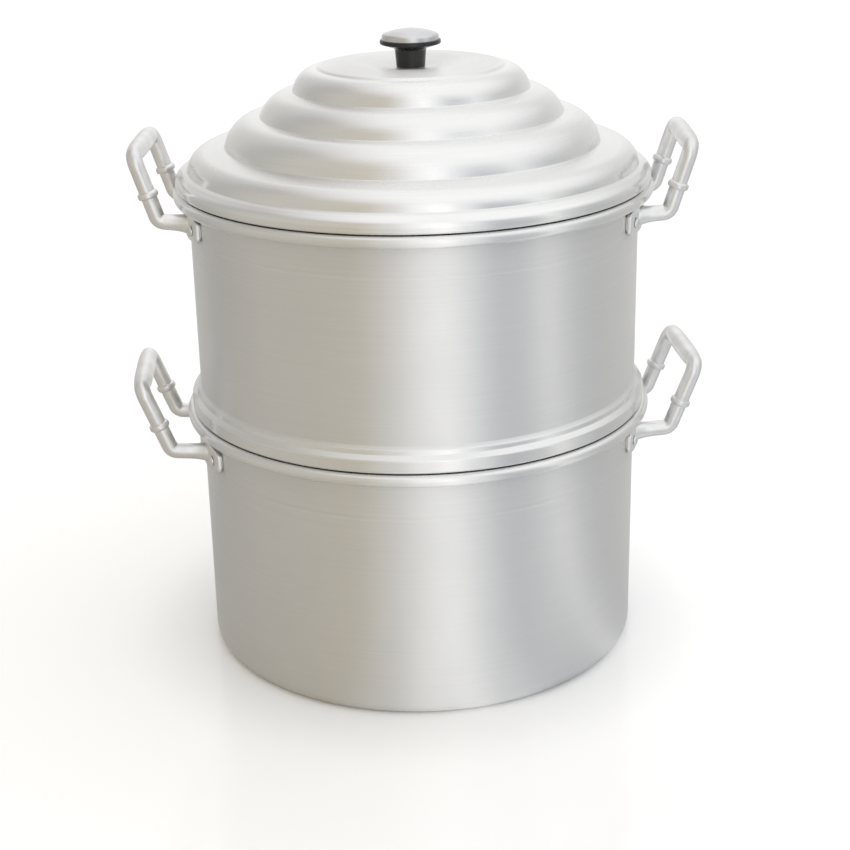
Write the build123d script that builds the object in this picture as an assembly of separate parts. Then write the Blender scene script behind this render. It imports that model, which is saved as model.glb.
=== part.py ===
from build123d import *
import os
from math import asin, cos, degrees, dist, radians, sin, tan

# Aluminium steamer pot: a water pot, a steam tier standing in its mouth, and a stepped lid.
# Millimetres, +Z up, origin at the middle of the pot's base. The handles lie along X,
# -X is the left side, -Y is the front.

# Spun vessels
mouth_diameter = 300.0          # inside of the pot and of the tier
sheet = 1.2                     # gauge of pot, tier and lid
pot_height = 174.4              # base to the top of the rolled rim
tier_height = 152.2             # seat to the top of the tier's rolled rim
base_corner_radius = 7.7        # bend between base and wall, at mid-sheet
rim_overhang = 10.0             # how far the rolled rim stands out from the wall
rim_curl_diameter = 8.0
rim_flare_share = 0.9           # bend under the rim, as a share of the room that it has
rim_curl_share = 0.96           # bends of the curl, as a share of half its width

# Seat of one piece on the rolled rim of the piece below
seat_gap = 0.3
mouth_clearance = 2.4           # all round between a mouth and what hangs in it
cup_depth = 20.0                # the tier's floor below its seat
cup_corner_radius = 6.0
seat_bend_radius = 1.5
band_overhang = 6.2             # how far the tier's seat band stands out from the wall
band_height = 7.9               # mid-sheet, lip to shoulder
shoulder_height = 8.0           # mid-sheet, shoulder to wall
shoulder_in_shares = (0.45, 0.36)   # steps of the shoulder towards the wall
shoulder_up_shares = (0.36, 0.66)
shoulder_bend_radius = 1.2

# Steam holes
hole_diameter = 9.0
hole_pitch = 20.0
holes_per_ring_step = 6

# Lid
flange_depth = 10.0
fold_overhang = 8.0             # how far the lid's folded edge stands out from the wall
fold_height = 6.4               # mid-sheet
fold_bend_radius = 2.5
brim_bend_radius = 2.1
brim_width = 8.3                # fold's outside to the first valley
brim_edge_in_share = 0.6        # where the brim turns down, of its width from the fold
brim_rise = 4.5                 # fold's top to the first valley
brim_edge_fall = 1.3            # the brim's fall from the valley to where it turns down
crown_height = 65.2             # first valley to the flat top
valley_radius_shares = (1.0, 0.8306, 0.6703, 0.5207)
valley_height_shares = (0.0, 0.208, 0.4997, 0.7472)
top_radius_share = 0.415
top_edge_height_share = 0.9769
top_step_width = 2.6            # from the last crease in to the flat top
roll_foot_angles = (74.8, 73.7, 62.6, 71.1)     # degrees above the horizontal
roll_top_angles = (9.9, 8.4, 14.9, 8.0)
roll_bend_shares = (0.52, 0.88, 0.88, 0.9)      # of each roll's width, where its legs have room
valley_bend_radius = 1.2
top_crease_radius = 3.5
top_bend_radius = 4.0
dip_diameter = 60.0             # shallow dip in the flat top that the knob stands in
dip_floor_diameter = 32.0
dip_depth = 3.0
dip_bend_radius = 24.0

# Knob
knob_diameter = 40.3
knob_height = 17.5              # lid to the top of the knob's edge
knob_edge_thickness = 2.7
knob_dish = 3.0                 # fall of the underside from the edge to the stem
knob_foot_diameter = 19.0
knob_neck_diameter = 20.8
knob_neck_radius = 2.4
knob_edge_radius = 1.0
cap_gauge = 1.0
cap_rim_width = 1.3             # black edge left round the cap
cap_recess = 1.4
cap_side_height = 3.0           # cap's edge above the knob's edge
cap_height = 7.0                # cap's middle above the knob's edge
cap_bend_radius = 2.0
cap_dome_out_shares = (0.66, 0.30)  # dome corners, of the cap's radius and of its dome's height
cap_dome_up_shares = (0.58, 0.92)
cap_dome_radius = 25.0
insert_diameter = 10.0
insert_length = 9.0
screw_diameter = 5.0
screw_grip_length = 7.0         # screw above the lid
screw_head_diameter = 9.5
screw_head_height = 2.8
screw_slot_width = 1.2
screw_slot_depth = 1.2
screw_hole_clearance = 0.25     # all round in the lid
washer_diameter = 16.0
washer_thickness = 1.2

# Cast handles
arm_spacing = 80.4
rod_diameter = 9.6
grip_diameter = 12.6
arm_rise = 2.0                  # wall to the lower corner
lower_corner_radius = 6.6
upper_corner_radius = 8.5
grip_shoulder = 1.5             # plain rod between the upper bend and the barrel
collar_diameter = 13.8
collar_height = 4.2
collar_edge_radius = 1.7
collar_place_share = 0.42       # along the upright from its lower corner
foot_length = 51.0
foot_middle_height = 19.6
foot_end_height = 15.8
foot_thickness = 3.4
foot_corner_radius = 2.5
foot_middle_radius = 30.0       # at the arm, above and below
foot_edge_radius = 0.9
arm_root_diameter = 13.4
arm_root_length = 11.0
pot_handle_reach = 20.7         # wall to the lower corner, at the handle's middle
pot_handle_upright = 48.2       # between the corners of the rod's axis
pot_handle_lean = 21.0          # degrees outwards from upright
pot_handle_drop = 22.9          # rim top to the feet
pot_turn = 4.1                  # degrees, the pot as it stands under the tier
tier_handle_reach = 16.3
tier_handle_upright = 45.6
tier_handle_lean = 17.4
tier_handle_drop = 19.1
tier_turn = -0.7

# Rivets
rivet_diameter = 5.0
rivet_spacing = 28.0            # in one foot, across the arm
rivet_drop = 1.5                # below the middle of the foot
rivet_head_diameter = 7.4
rivet_head_height = 2.2
rivet_head_radius = 1.2
rivet_inner_head_diameter = 10.0
rivet_inner_head_height = 1.6
rivet_inner_head_radius = 1.0

# Places that follow
mouth_radius = mouth_diameter / 2
wall_radius = mouth_radius + sheet
wall_mid_radius = mouth_radius + sheet / 2
hanging_radius = mouth_radius - mouth_clearance
tier_seat_z = pot_height + seat_gap
tier_rim_z = tier_seat_z + tier_height
lid_seat_z = tier_rim_z + seat_gap
pot_foot_z = pot_height - pot_handle_drop
tier_foot_z = tier_rim_z - tier_handle_drop


def beside(points, distance):
    """Corners of a line that runs beside a run of points, to their left by a distance."""
    steps = [
        (Vector(*end) - Vector(*start)).normalized() for start, end in zip(points, points[1:])
    ]
    normals = [Vector(-step.Y, step.X) for step in steps]
    pairs = zip([normals[0]] + normals, normals + [normals[-1]])
    shifts = [(one + two) * (distance / (1 + one.dot(two))) for one, two in pairs]
    return [Vector(*point) + shift for point, shift in zip(points, shifts)]


def turns_left(before, corner, after):
    """Whether a run of points turns to the left at a corner."""
    first = Vector(*corner) - Vector(*before)
    second = Vector(*after) - Vector(*corner)
    return first.X * second.Y > first.Y * second.X


def spun_sheet(points, radii, gauge):
    """Sheet of one gauge spun round +Z, from the corners and bends of its mid-line."""
    lines = []
    for distance in (gauge / 2, -gauge / 2):
        bends = [
            radius - distance if turns_left(*points[place:place + 3]) else radius + distance
            for place, radius in enumerate(radii)
        ]
        lines.append(FilletPolyline(*beside(points, distance), radius=bends))
    left, right = lines
    ends = [Line(left @ 0, right @ 0), Line(left @ 1, right @ 1)]
    section = make_face(left.edges() + right.edges() + ends)
    past_axis = min(x for x, z in points)
    if past_axis < 0:
        levels = [z for x, z in points]
        deep = min(levels) - gauge
        behind = Rectangle(gauge - past_axis, max(levels) + gauge - deep, align=(Align.MAX, Align.MIN))
        section = section - Pos(0, deep) * behind
    return revolve(Plane.XZ * section, Axis.Z)


def rim_points(top):
    """Mid-line of a rolled rim, from the wall over the top and round the curl."""
    curl_radius = (rim_curl_diameter - sheet) / 2
    outside = wall_radius + rim_overhang - sheet / 2
    inside = outside - 2 * curl_radius
    crest = top - sheet / 2
    points = [
        (wall_mid_radius, crest),
        (outside, crest),
        (outside, crest - 2 * curl_radius),
        (inside, crest - 2 * curl_radius),
        (inside, crest - curl_radius + sheet / 2),
    ]
    flare = rim_flare_share * (outside - curl_radius - wall_mid_radius)
    radii = [flare] + 3 * [rim_curl_share * curl_radius]
    return points, radii


def make_pot():
    """Water pot: flat base, rounded corner, straight wall and rolled rim."""
    floor = sheet / 2
    rim, rim_radii = rim_points(pot_height)
    points = [(-sheet, floor), (wall_mid_radius, floor)] + rim
    pot = spun_sheet(points, [base_corner_radius] + rim_radii, sheet)
    return pot - rivet_shanks(pot_foot_z, pot_turn)


def steam_holes(floor_z):
    """Drills for rings of steam holes that fill the flat of the tier's floor."""
    flat_radius = hanging_radius - cup_corner_radius - hole_diameter
    drill = Pos(0, 0, floor_z) * Cylinder(hole_diameter / 2, 4 * sheet)
    drills = [drill]
    for ring in range(1, int(flat_radius / hole_pitch) + 1):
        places = PolarLocations(ring * hole_pitch, ring * holes_per_ring_step)
        drills += [place * drill for place in places]
    return drills


def make_tier():
    """Steam tier: perforated cup, seat band folded out over the rim below, wall, rolled rim."""
    cup = hanging_radius - sheet / 2
    floor = tier_seat_z - cup_depth + sheet / 2
    seat = tier_seat_z + sheet / 2
    band = wall_radius + band_overhang - sheet / 2
    shoulder = seat + band_height
    depth = band - wall_mid_radius
    steps = [
        (wall_mid_radius + inward * depth, shoulder + up * shoulder_height)
        for inward, up in zip(shoulder_in_shares, shoulder_up_shares)
    ]
    rim, rim_radii = rim_points(tier_rim_z)
    points = [(-sheet, floor), (cup, floor), (cup, seat), (band, seat), (band, shoulder)]
    points += steps + [(wall_mid_radius, shoulder + shoulder_height)] + rim
    bends = [cup_corner_radius, seat_bend_radius, seat_bend_radius]
    bends += (len(steps) + 2) * [shoulder_bend_radius]
    tier = spun_sheet(points, bends + rim_radii, sheet)
    return tier - steam_holes(floor) - rivet_shanks(tier_foot_z, tier_turn)


def roll_corner(foot, top, foot_angle, top_angle):
    """Where the steep line up from a roll's foot meets the gentle line out from its top."""
    foot_slope = tan(radians(foot_angle))
    top_slope = tan(radians(top_angle))
    width = foot[0] - top[0]
    rise = top[1] - foot[1]
    inward = (rise - top_slope * width) / (foot_slope - top_slope)
    return foot[0] - inward, foot[1] + foot_slope * inward


def lid_fold():
    """Outside radius, lower and upper level of the lid's folded edge, at mid-sheet."""
    outside = wall_radius + fold_overhang - sheet / 2
    low = lid_seat_z + sheet / 2
    return outside, low, low + fold_height


def lid_valleys():
    """The four valleys and the edge of the flat top, from the brim inwards, at mid-sheet."""
    outside, low, high = lid_fold()
    first = high + brim_rise
    crown_radius = outside - brim_width
    valleys = [
        (crown_radius * across, first + crown_height * up)
        for across, up in zip(valley_radius_shares, valley_height_shares)
    ]
    edge = (crown_radius * top_radius_share, first + crown_height * top_edge_height_share)
    return valleys + [edge], first + crown_height


def roll_bend_room(foot, corner, top, turn):
    """Largest bend of a roll's corner that leaves room on both legs for the valley's bend."""
    shorter_leg = min(dist(foot, corner), dist(corner, top))
    return (shorter_leg - valley_bend_radius) / tan(radians(turn / 2))


def make_lid():
    """Lid: flange in the mouth, folded edge, narrow brim, four rolls, flat top with a dip."""
    outside, low, high = lid_fold()
    flange = hanging_radius - sheet / 2
    valleys, top = lid_valleys()
    points = [
        (flange, low - flange_depth),
        (flange, low),
        (outside, low),
        (outside, high),
        (outside - brim_edge_in_share * brim_width, valleys[0][1] - brim_edge_fall),
    ]
    bends = [seat_bend_radius, fold_bend_radius, fold_bend_radius, brim_bend_radius]
    for place, bend_share in enumerate(roll_bend_shares):
        foot, top_end = valleys[place], valleys[place + 1]
        foot_angle, top_angle = roll_foot_angles[place], roll_top_angles[place]
        corner = roll_corner(foot, top_end, foot_angle, top_angle)
        room = roll_bend_room(foot, corner, top_end, foot_angle - top_angle)
        points += [foot, corner]
        bends += [valley_bend_radius, min(bend_share * (foot[0] - top_end[0]), room)]
    points += [
        valleys[-1],
        (valleys[-1][0] - top_step_width, top),
        (dip_diameter / 2, top),
        (dip_floor_diameter / 2, top - dip_depth),
        (-sheet, top - dip_depth),
    ]
    bends += [top_crease_radius, top_bend_radius, dip_bend_radius, dip_bend_radius]
    lid = spun_sheet(points, bends, sheet)
    hole = Cylinder(screw_diameter / 2 + screw_hole_clearance, 4 * sheet)
    return lid - Pos(0, 0, top - dip_depth) * hole


def knob_base_z():
    """Top face of the lid's dip, which the knob stands on."""
    return lid_valleys()[1] - dip_depth + sheet / 2


def make_knob_body():
    """Moulded knob: waisted stem, dished underside, thin edge, recess for the cap."""
    foot = knob_foot_diameter / 2
    neck = knob_neck_diameter / 2
    edge = knob_diameter / 2
    under = knob_height - knob_edge_thickness
    outline = Polyline(
        (0, 0), (foot, 0), (neck, under - knob_dish), (edge, under), (edge, knob_height),
        (0, knob_height), (0, 0),
    )
    profile = make_face(outline)
    corners = profile.vertices()
    sharp = corners.filter_by(lambda corner: corner.X > neck + knob_neck_radius)
    profile = fillet(sharp, knob_edge_radius)
    waist = profile.vertices().filter_by_position(Axis.X, neck - sheet / 9, neck + sheet / 9)
    profile = fillet(waist, knob_neck_radius)
    body = revolve(Plane.XZ * profile, Axis.Z)
    recess = Cylinder(edge - cap_rim_width, cap_recess, align=(Align.CENTER, Align.CENTER, Align.MAX))
    body -= Pos(0, 0, knob_height) * recess
    body -= bush(insert_diameter, insert_length)
    return Pos(0, 0, knob_base_z()) * body


def bush(diameter, length):
    """Upright cylinder that stands on its own origin."""
    return Cylinder(diameter / 2, length, align=(Align.CENTER, Align.CENTER, Align.MIN))


def make_knob_cap():
    """Pressed cap: domed top and a short turned-down side that stands in the knob's recess."""
    side = knob_diameter / 2 - cap_rim_width - cap_gauge / 2
    floor = knob_height - cap_recess
    shoulder = knob_height + cap_side_height
    dome = knob_height + cap_height - cap_gauge / 2 - shoulder
    points = [(side, floor + cap_gauge / 2), (side, shoulder)]
    for out, up in zip(cap_dome_out_shares, cap_dome_up_shares):
        points.append((out * side, shoulder + up * dome))
    points.append((-cap_gauge, shoulder + dome))
    bends = [cap_bend_radius] + len(cap_dome_out_shares) * [cap_dome_radius]
    return Pos(0, 0, knob_base_z()) * spun_sheet(points, bends, cap_gauge)


def make_knob_insert():
    """Threaded bush moulded into the knob's stem."""
    insert = bush(insert_diameter, insert_length) - bush(screw_diameter, screw_grip_length)
    return Pos(0, 0, knob_base_z()) * insert


def make_knob_washer():
    """Flat washer against the underside of the lid."""
    hole = screw_diameter + 2 * screw_hole_clearance
    washer = bush(washer_diameter, washer_thickness) - bush(hole, washer_thickness)
    return Pos(0, 0, knob_base_z() - sheet - washer_thickness) * washer


def make_knob_screw():
    """Slotted screw up through washer and lid into the knob's insert."""
    under_lid = sheet + washer_thickness
    shank = bush(screw_diameter, under_lid + screw_grip_length)
    head = Pos(0, 0, -screw_head_height) * bush(screw_head_diameter, screw_head_height)
    lower_edge = head.edges().sort_by(Axis.Z)[0]
    head = fillet(lower_edge, screw_head_height / 3)
    slot = Pos(0, 0, -screw_head_height) * Box(screw_head_diameter, screw_slot_width, 2 * screw_slot_depth)
    return Pos(0, 0, knob_base_z() - under_lid) * (shank + head - slot)


def foot_azimuth():
    """Degrees from the handle's middle to each of its arms, round the wall."""
    return degrees(asin(arm_spacing / 2 / wall_radius))


def make_foot():
    """Foot on the +X side of the wall: a low plate bent round the wall, taller at its arm."""
    half = foot_length / 2
    middle = foot_middle_height / 2
    end = foot_end_height / 2
    outline = make_face(Polyline(
        (-half, -end), (0, -middle), (half, -end), (half, end), (0, middle), (-half, end),
        (-half, -end),
    ))
    ends = outline.vertices().filter_by(lambda corner: abs(corner.X) > half / 2)
    outline = fillet(ends, foot_corner_radius)
    at_arm = outline.vertices().filter_by(lambda corner: abs(corner.X) < sheet / 2)
    outline = fillet(at_arm, foot_middle_radius)
    block = extrude(Plane.YZ * outline, wall_radius + 2 * foot_thickness)
    plate = block & Cylinder(wall_radius + foot_thickness, 2 * foot_middle_height)
    plate -= Cylinder(wall_radius - foot_thickness, 2 * foot_middle_height)
    outer = plate.edges().filter_by(
        lambda edge: abs(hypot_xy(edge @ 0.5) - wall_radius - foot_thickness) < sheet / 100
    )
    return fillet(outer, foot_edge_radius)


def hypot_xy(point):
    """Distance of a point from the Z axis."""
    return (point.X ** 2 + point.Y ** 2) ** 0.5


def make_handle(foot_z, reach, upright, lean, turn):
    """Cast loop handle on the +X side, turned about Z: two halves and the barrel between."""
    half = make_half_handle(foot_z, reach, upright, lean)
    grip_x = wall_radius + reach + upright * sin(radians(lean))
    grip_z = foot_z + arm_rise + upright * cos(radians(lean))
    handle = half + mirror(half, about=Plane.XZ) + Pos(grip_x, 0, grip_z) * make_barrel()
    handle -= rivet_shanks(foot_z, 0)
    return Rot(0, 0, turn) * handle


def make_half_handle(foot_z, reach, upright, lean):
    """The handle's +Y half: foot, tapered arm, bend, upright with its collar, and bend."""
    side = arm_spacing / 2
    root = Vector(wall_radius * cos(radians(foot_azimuth())), side, foot_z)
    lower = Vector(wall_radius + reach, side, foot_z + arm_rise)
    lean_out = Vector(sin(radians(lean)), 0, cos(radians(lean)))
    upper = lower + lean_out * upright
    arm = (lower - root).normalized()
    grip_end = upper - Vector(0, upper_corner_radius + grip_shoulder, 0)
    route = FilletPolyline(
        root + arm * arm_root_length, lower, upper, grip_end,
        radius=[lower_corner_radius, upper_corner_radius],
    )
    start = Plane(origin=route @ 0, z_dir=route % 0)
    half = sweep(start * Circle(rod_diameter / 2), path=route)
    half += Plane(origin=root, z_dir=arm) * make_arm_root()
    collar_place = lower + lean_out * upright * collar_place_share
    half += Plane(origin=collar_place, z_dir=lean_out) * make_collar()
    half += Rot(0, 0, foot_azimuth()) * Pos(0, 0, foot_z) * make_foot()
    inside = Pos(0, 0, foot_z) * Cylinder(wall_radius, 2 * foot_middle_height)
    return half - inside


def make_barrel():
    """Barrel along Y: rod diameter at its ends, grip diameter in the middle."""
    length = arm_spacing - 2 * (upper_corner_radius + grip_shoulder)
    rod = rod_diameter / 2
    swell = ThreePointArc((rod, -length / 2), (grip_diameter / 2, 0), (rod, length / 2))
    closing = Polyline((rod, length / 2), (0, length / 2), (0, -length / 2), (rod, -length / 2))
    return revolve(make_face(swell.edges() + closing.edges()), Axis.Y)


def make_collar():
    """Raised ring round an upright."""
    ring = Cylinder(collar_diameter / 2, collar_height)
    return fillet(ring.edges().filter_by(GeomType.CIRCLE), collar_edge_radius)


def make_arm_root():
    """Taper from the foot to the rod, along the arm."""
    return Cone(
        arm_root_diameter / 2, rod_diameter / 2, arm_root_length,
        align=(Align.CENTER, Align.CENTER, Align.MIN),
    )


def rivet_places(side, foot):
    """Azimuths of one foot's two rivets: side is 0 or 180 degrees, foot is -1 or 1."""
    offset = degrees(rivet_spacing / 2 / (wall_radius + foot_thickness))
    middle = side + foot * foot_azimuth()
    return [middle - offset, middle + offset]


def rivet_shanks(foot_z, turn):
    """All the shanks of one vessel, to be cut from its wall and its handles."""
    shank = through_shank()
    return [
        Pos(0, 0, foot_z) * Rot(0, 0, azimuth + turn) * shank
        for side in (0, 180) for foot in (-1, 1) for azimuth in rivet_places(side, foot)
    ]


def through_shank():
    """Rivet shank with spare length at both ends, as a cutter."""
    length = sheet + foot_thickness + 2 * rivet_head_height
    shank = Cylinder(rivet_diameter / 2, length, align=(Align.CENTER, Align.CENTER, Align.MIN))
    return Pos(mouth_radius - rivet_head_height, 0, -rivet_drop) * Rot(0, 90, 0) * shank


def make_rivet():
    """Rivet on the +X side: domed head on the foot, low head inside the mouth."""
    foot_radius = wall_radius + foot_thickness
    tall = 4 * rivet_inner_head_diameter
    head = Cylinder(
        rivet_head_diameter / 2, foot_thickness + rivet_head_height,
        align=(Align.CENTER, Align.CENTER, Align.MIN),
    )
    head = fillet(head.edges().sort_by(Axis.Z)[-1], rivet_head_radius)
    head = Pos(wall_radius, 0, -rivet_drop) * Rot(0, 90, 0) * head - Cylinder(foot_radius, tall)
    inner = Cylinder(
        rivet_inner_head_diameter / 2, 2 * rivet_inner_head_height,
        align=(Align.CENTER, Align.CENTER, Align.MIN),
    )
    inner = fillet(inner.edges().sort_by(Axis.Z)[0], rivet_inner_head_radius)
    start = mouth_radius - rivet_inner_head_height
    inner = Pos(start, 0, -rivet_drop) * Rot(0, 90, 0) * inner & Cylinder(mouth_radius, tall)
    wall_and_foot = Cylinder(foot_radius, tall) - Cylinder(mouth_radius, tall)
    return (through_shank() & wall_and_foot) + head + inner


def save(shape, node):
    """Write one node's STEP file."""
    export_step(shape, f"parts/{node}.step")


os.makedirs("parts", exist_ok=True)
save(make_pot(), "water_pot")
save(make_tier(), "steam_tier")
save(make_lid(), "lid")
vessels = {
    "water_pot": (
        pot_foot_z, pot_handle_reach, pot_handle_upright, pot_handle_lean, pot_turn,
    ),
    "steam_tier": (
        tier_foot_z, tier_handle_reach, tier_handle_upright, tier_handle_lean, tier_turn,
    ),
}
for vessel, (foot_z, reach, upright, lean, turn) in vessels.items():
    handle = make_handle(foot_z, reach, upright, lean, turn)
    for side, azimuth in (("right", 0), ("left", 180)):
        save(Rot(0, 0, azimuth) * handle, f"{vessel}_handle_{side}")
        front = -1 if side == "right" else 1
        for end, foot in (("front", front), ("back", -front)):
            rivets = [
                Pos(0, 0, foot_z) * Rot(0, 0, place + turn) * make_rivet()
                for place in rivet_places(azimuth, foot)
            ]
            save(Compound(rivets), f"{vessel}_rivets_{side}_{end}")
save(make_knob_body(), "knob_body")
save(make_knob_cap(), "knob_cap")
save(make_knob_insert(), "knob_insert")
save(make_knob_washer(), "knob_washer")
save(make_knob_screw(), "knob_screw")
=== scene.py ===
import bmesh
import bpy
import numpy as np
from mathutils import Matrix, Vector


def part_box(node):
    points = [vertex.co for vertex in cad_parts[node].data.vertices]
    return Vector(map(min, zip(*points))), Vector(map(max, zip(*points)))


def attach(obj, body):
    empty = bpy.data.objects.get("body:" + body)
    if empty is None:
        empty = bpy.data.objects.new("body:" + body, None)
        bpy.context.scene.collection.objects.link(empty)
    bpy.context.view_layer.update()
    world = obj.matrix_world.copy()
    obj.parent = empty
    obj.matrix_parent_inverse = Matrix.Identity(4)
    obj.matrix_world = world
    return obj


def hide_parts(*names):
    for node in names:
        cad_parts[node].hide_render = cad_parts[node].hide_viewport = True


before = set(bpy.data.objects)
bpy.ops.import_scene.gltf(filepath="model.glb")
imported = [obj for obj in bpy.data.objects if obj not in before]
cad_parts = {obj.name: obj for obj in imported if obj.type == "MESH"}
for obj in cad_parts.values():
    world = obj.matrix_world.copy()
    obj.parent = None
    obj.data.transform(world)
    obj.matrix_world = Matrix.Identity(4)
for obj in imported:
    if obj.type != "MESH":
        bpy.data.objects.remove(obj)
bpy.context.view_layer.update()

# The water pot
# A disc of 1.2 mm aluminium spun over a former on a lathe: flat base, rounded corner, straight
# wall, and a rim rolled outwards into a bead. The tool leaves fine rings all round it.
sheet = 0.0012
pot_low, pot_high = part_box("water_pot")
pot_top = pot_high[2]
rim_overhang = 0.010
rim_curl = 0.0068
rim_flare = 0.0059
rim_bend_share = 0.49
rim_return_share = 1 / 3
wall_middle = pot_high[0] - rim_overhang - sheet / 2
base_corner_bend = 0.0077
spin_line_drop = 0.0328
spin_line_width = 0.0016
spin_line_depth = 0.00022
spin_line_bend = 0.0008
spin_line_shares = ((0.0, -1.0), (1.0, -0.4), (1.0, 0.4), (0.0, 1.0))
weld_distance = 0.000001
fine_spread = 2.2
coarse_spread = 1.1
fine_share = 0.6
mask_low = 0.3
mask_high = 0.7
wiping_size = 14.0
wiping_waver = 0.03
worked_fade = 0.0015


def sheet_line(corners, bends, steps=9, hold=0.0004):
    """Mid-line of a bent sheet, with its left normals. It runs straight from corner to corner.
    At a corner with turn t and bend r it follows centre - r n, where the normal n turns evenly
    through t. Each straight run has a point close to either end, which keeps it looking flat."""
    corners = np.array(corners, float)
    runs = np.diff(corners, axis=0)
    heading = np.arctan2(runs[:, 1], runs[:, 0])
    along = np.stack([np.cos(heading), np.sin(heading)], axis=1)
    across = np.stack([-np.sin(heading), np.cos(heading)], axis=1)
    turn = (np.diff(heading) + np.pi) % (2 * np.pi) - np.pi
    radius = np.sign(turn) * np.array(bends)
    reach = np.abs(radius) * np.tan(np.abs(turn) / 2)
    start = corners[1:-1] - along[:-1] * reach[:, None]
    centre = start + across[:-1] * radius[:, None]
    angle = heading[:-1, None] + turn[:, None] * np.linspace(0, 1, steps)
    normal = np.stack([-np.sin(angle), np.cos(angle)], axis=2)
    arc = centre[:, None] - normal * radius[:, None, None]
    run_start = np.vstack([corners[:1], arc[:, -1]])
    run_end = np.vstack([arc[:, 0], corners[-1:]])
    room = np.linalg.norm(run_end - run_start, axis=1)
    near = along * np.minimum(hold, room / 3)[:, None]
    support = np.stack([run_start + near, run_end - near], axis=1)
    support_normal = np.repeat(across[:, None], 2, axis=1)
    blocks = np.concatenate([support[:-1], arc], axis=1).reshape(-1, 2)
    normals = np.concatenate([support_normal[:-1], normal], axis=1).reshape(-1, 2)
    points = np.vstack([corners[:1], blocks, support[-1], corners[-1:]])
    return points, np.vstack([across[:1], normals, support_normal[-1], across[-1:]])


def sheet_outline(corners, bends, thickness, **choices):
    """Closed outline of a bent sheet: out along one face at +thickness/2 from the mid-line, and
    back along the other face at -thickness/2."""
    points, normals = sheet_line(corners, bends, **choices)
    return np.vstack([points + normals * thickness / 2, (points - normals * thickness / 2)[::-1]])


def spun_skin(outline, turns=256):
    """Closed skin of a spun form: each outline point (r, z) goes round to (r cos a, r sin a, z)."""
    angle = np.arange(turns) * 2 * np.pi / turns
    rings, height = np.maximum(outline[:, 0], 0), outline[:, 1]
    points = np.stack([
        rings[:, None] * np.cos(angle), rings[:, None] * np.sin(angle),
        np.repeat(height[:, None], turns, axis=1),
    ], axis=2)
    return points.reshape(-1, 3), wrapped_faces(len(outline), turns, True, True)


def wrapped_faces(rows, columns, wrap_rows, wrap_columns):
    """Quads of a grid of points, closed on itself along rows or columns where asked."""
    row = np.arange(rows if wrap_rows else rows - 1)[:, None]
    column = np.arange(columns if wrap_columns else columns - 1)[None, :]
    next_row, next_column = (row + 1) % rows, (column + 1) % columns
    corners = [
        row * columns + column, row * columns + next_column,
        next_row * columns + next_column, next_row * columns + column,
    ]
    return np.stack([corner.reshape(-1) for corner in corners], axis=1)


def make_piece(name, points, faces, material, body, crease=40):
    """One object at the origin from points and faces, welded, facing out and smooth but for
    edges that turn by more than the crease, in degrees. It rides on a CAD body."""
    mesh = bpy.data.meshes.new(name)
    mesh.from_pydata(points.tolist(), [], [[int(corner) for corner in face] for face in faces])
    shape = bmesh.new()
    shape.from_mesh(mesh)
    bmesh.ops.remove_doubles(shape, verts=shape.verts, dist=weld_distance)
    bmesh.ops.recalc_face_normals(shape, faces=shape.faces)
    shape.to_mesh(mesh)
    shape.free()
    mesh.shade_smooth()
    mesh.set_sharp_from_angle(angle=np.radians(crease))
    mesh.materials.append(material)
    piece = bpy.data.objects.new(name, mesh)
    bpy.context.collection.objects.link(piece)
    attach(piece, body)
    return piece


def nodes_of(tree):
    """Empties a node tree and gives short calls to add a node, with its values, and a link."""
    tree.nodes.clear()

    def add(kind, **values):
        node = tree.nodes.new(kind)
        for key, value in values.items():
            if hasattr(node, key):
                setattr(node, key, value)
            else:
                node.inputs[key.replace("_", " ")].default_value = value
        return node

    def link(source, target):
        tree.links.new(source, target)

    return add, link


def new_surface(name, **values):
    """Material with one Principled surface, whose uniform values sit on its own sockets."""
    material = bpy.data.materials.new(name)
    material.use_nodes = True
    add, link = nodes_of(material.node_tree)
    surface = add("ShaderNodeBsdfPrincipled", **values)
    output = add("ShaderNodeOutputMaterial")
    link(surface.outputs[0], output.inputs["Surface"])
    return material, add, link, surface


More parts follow.
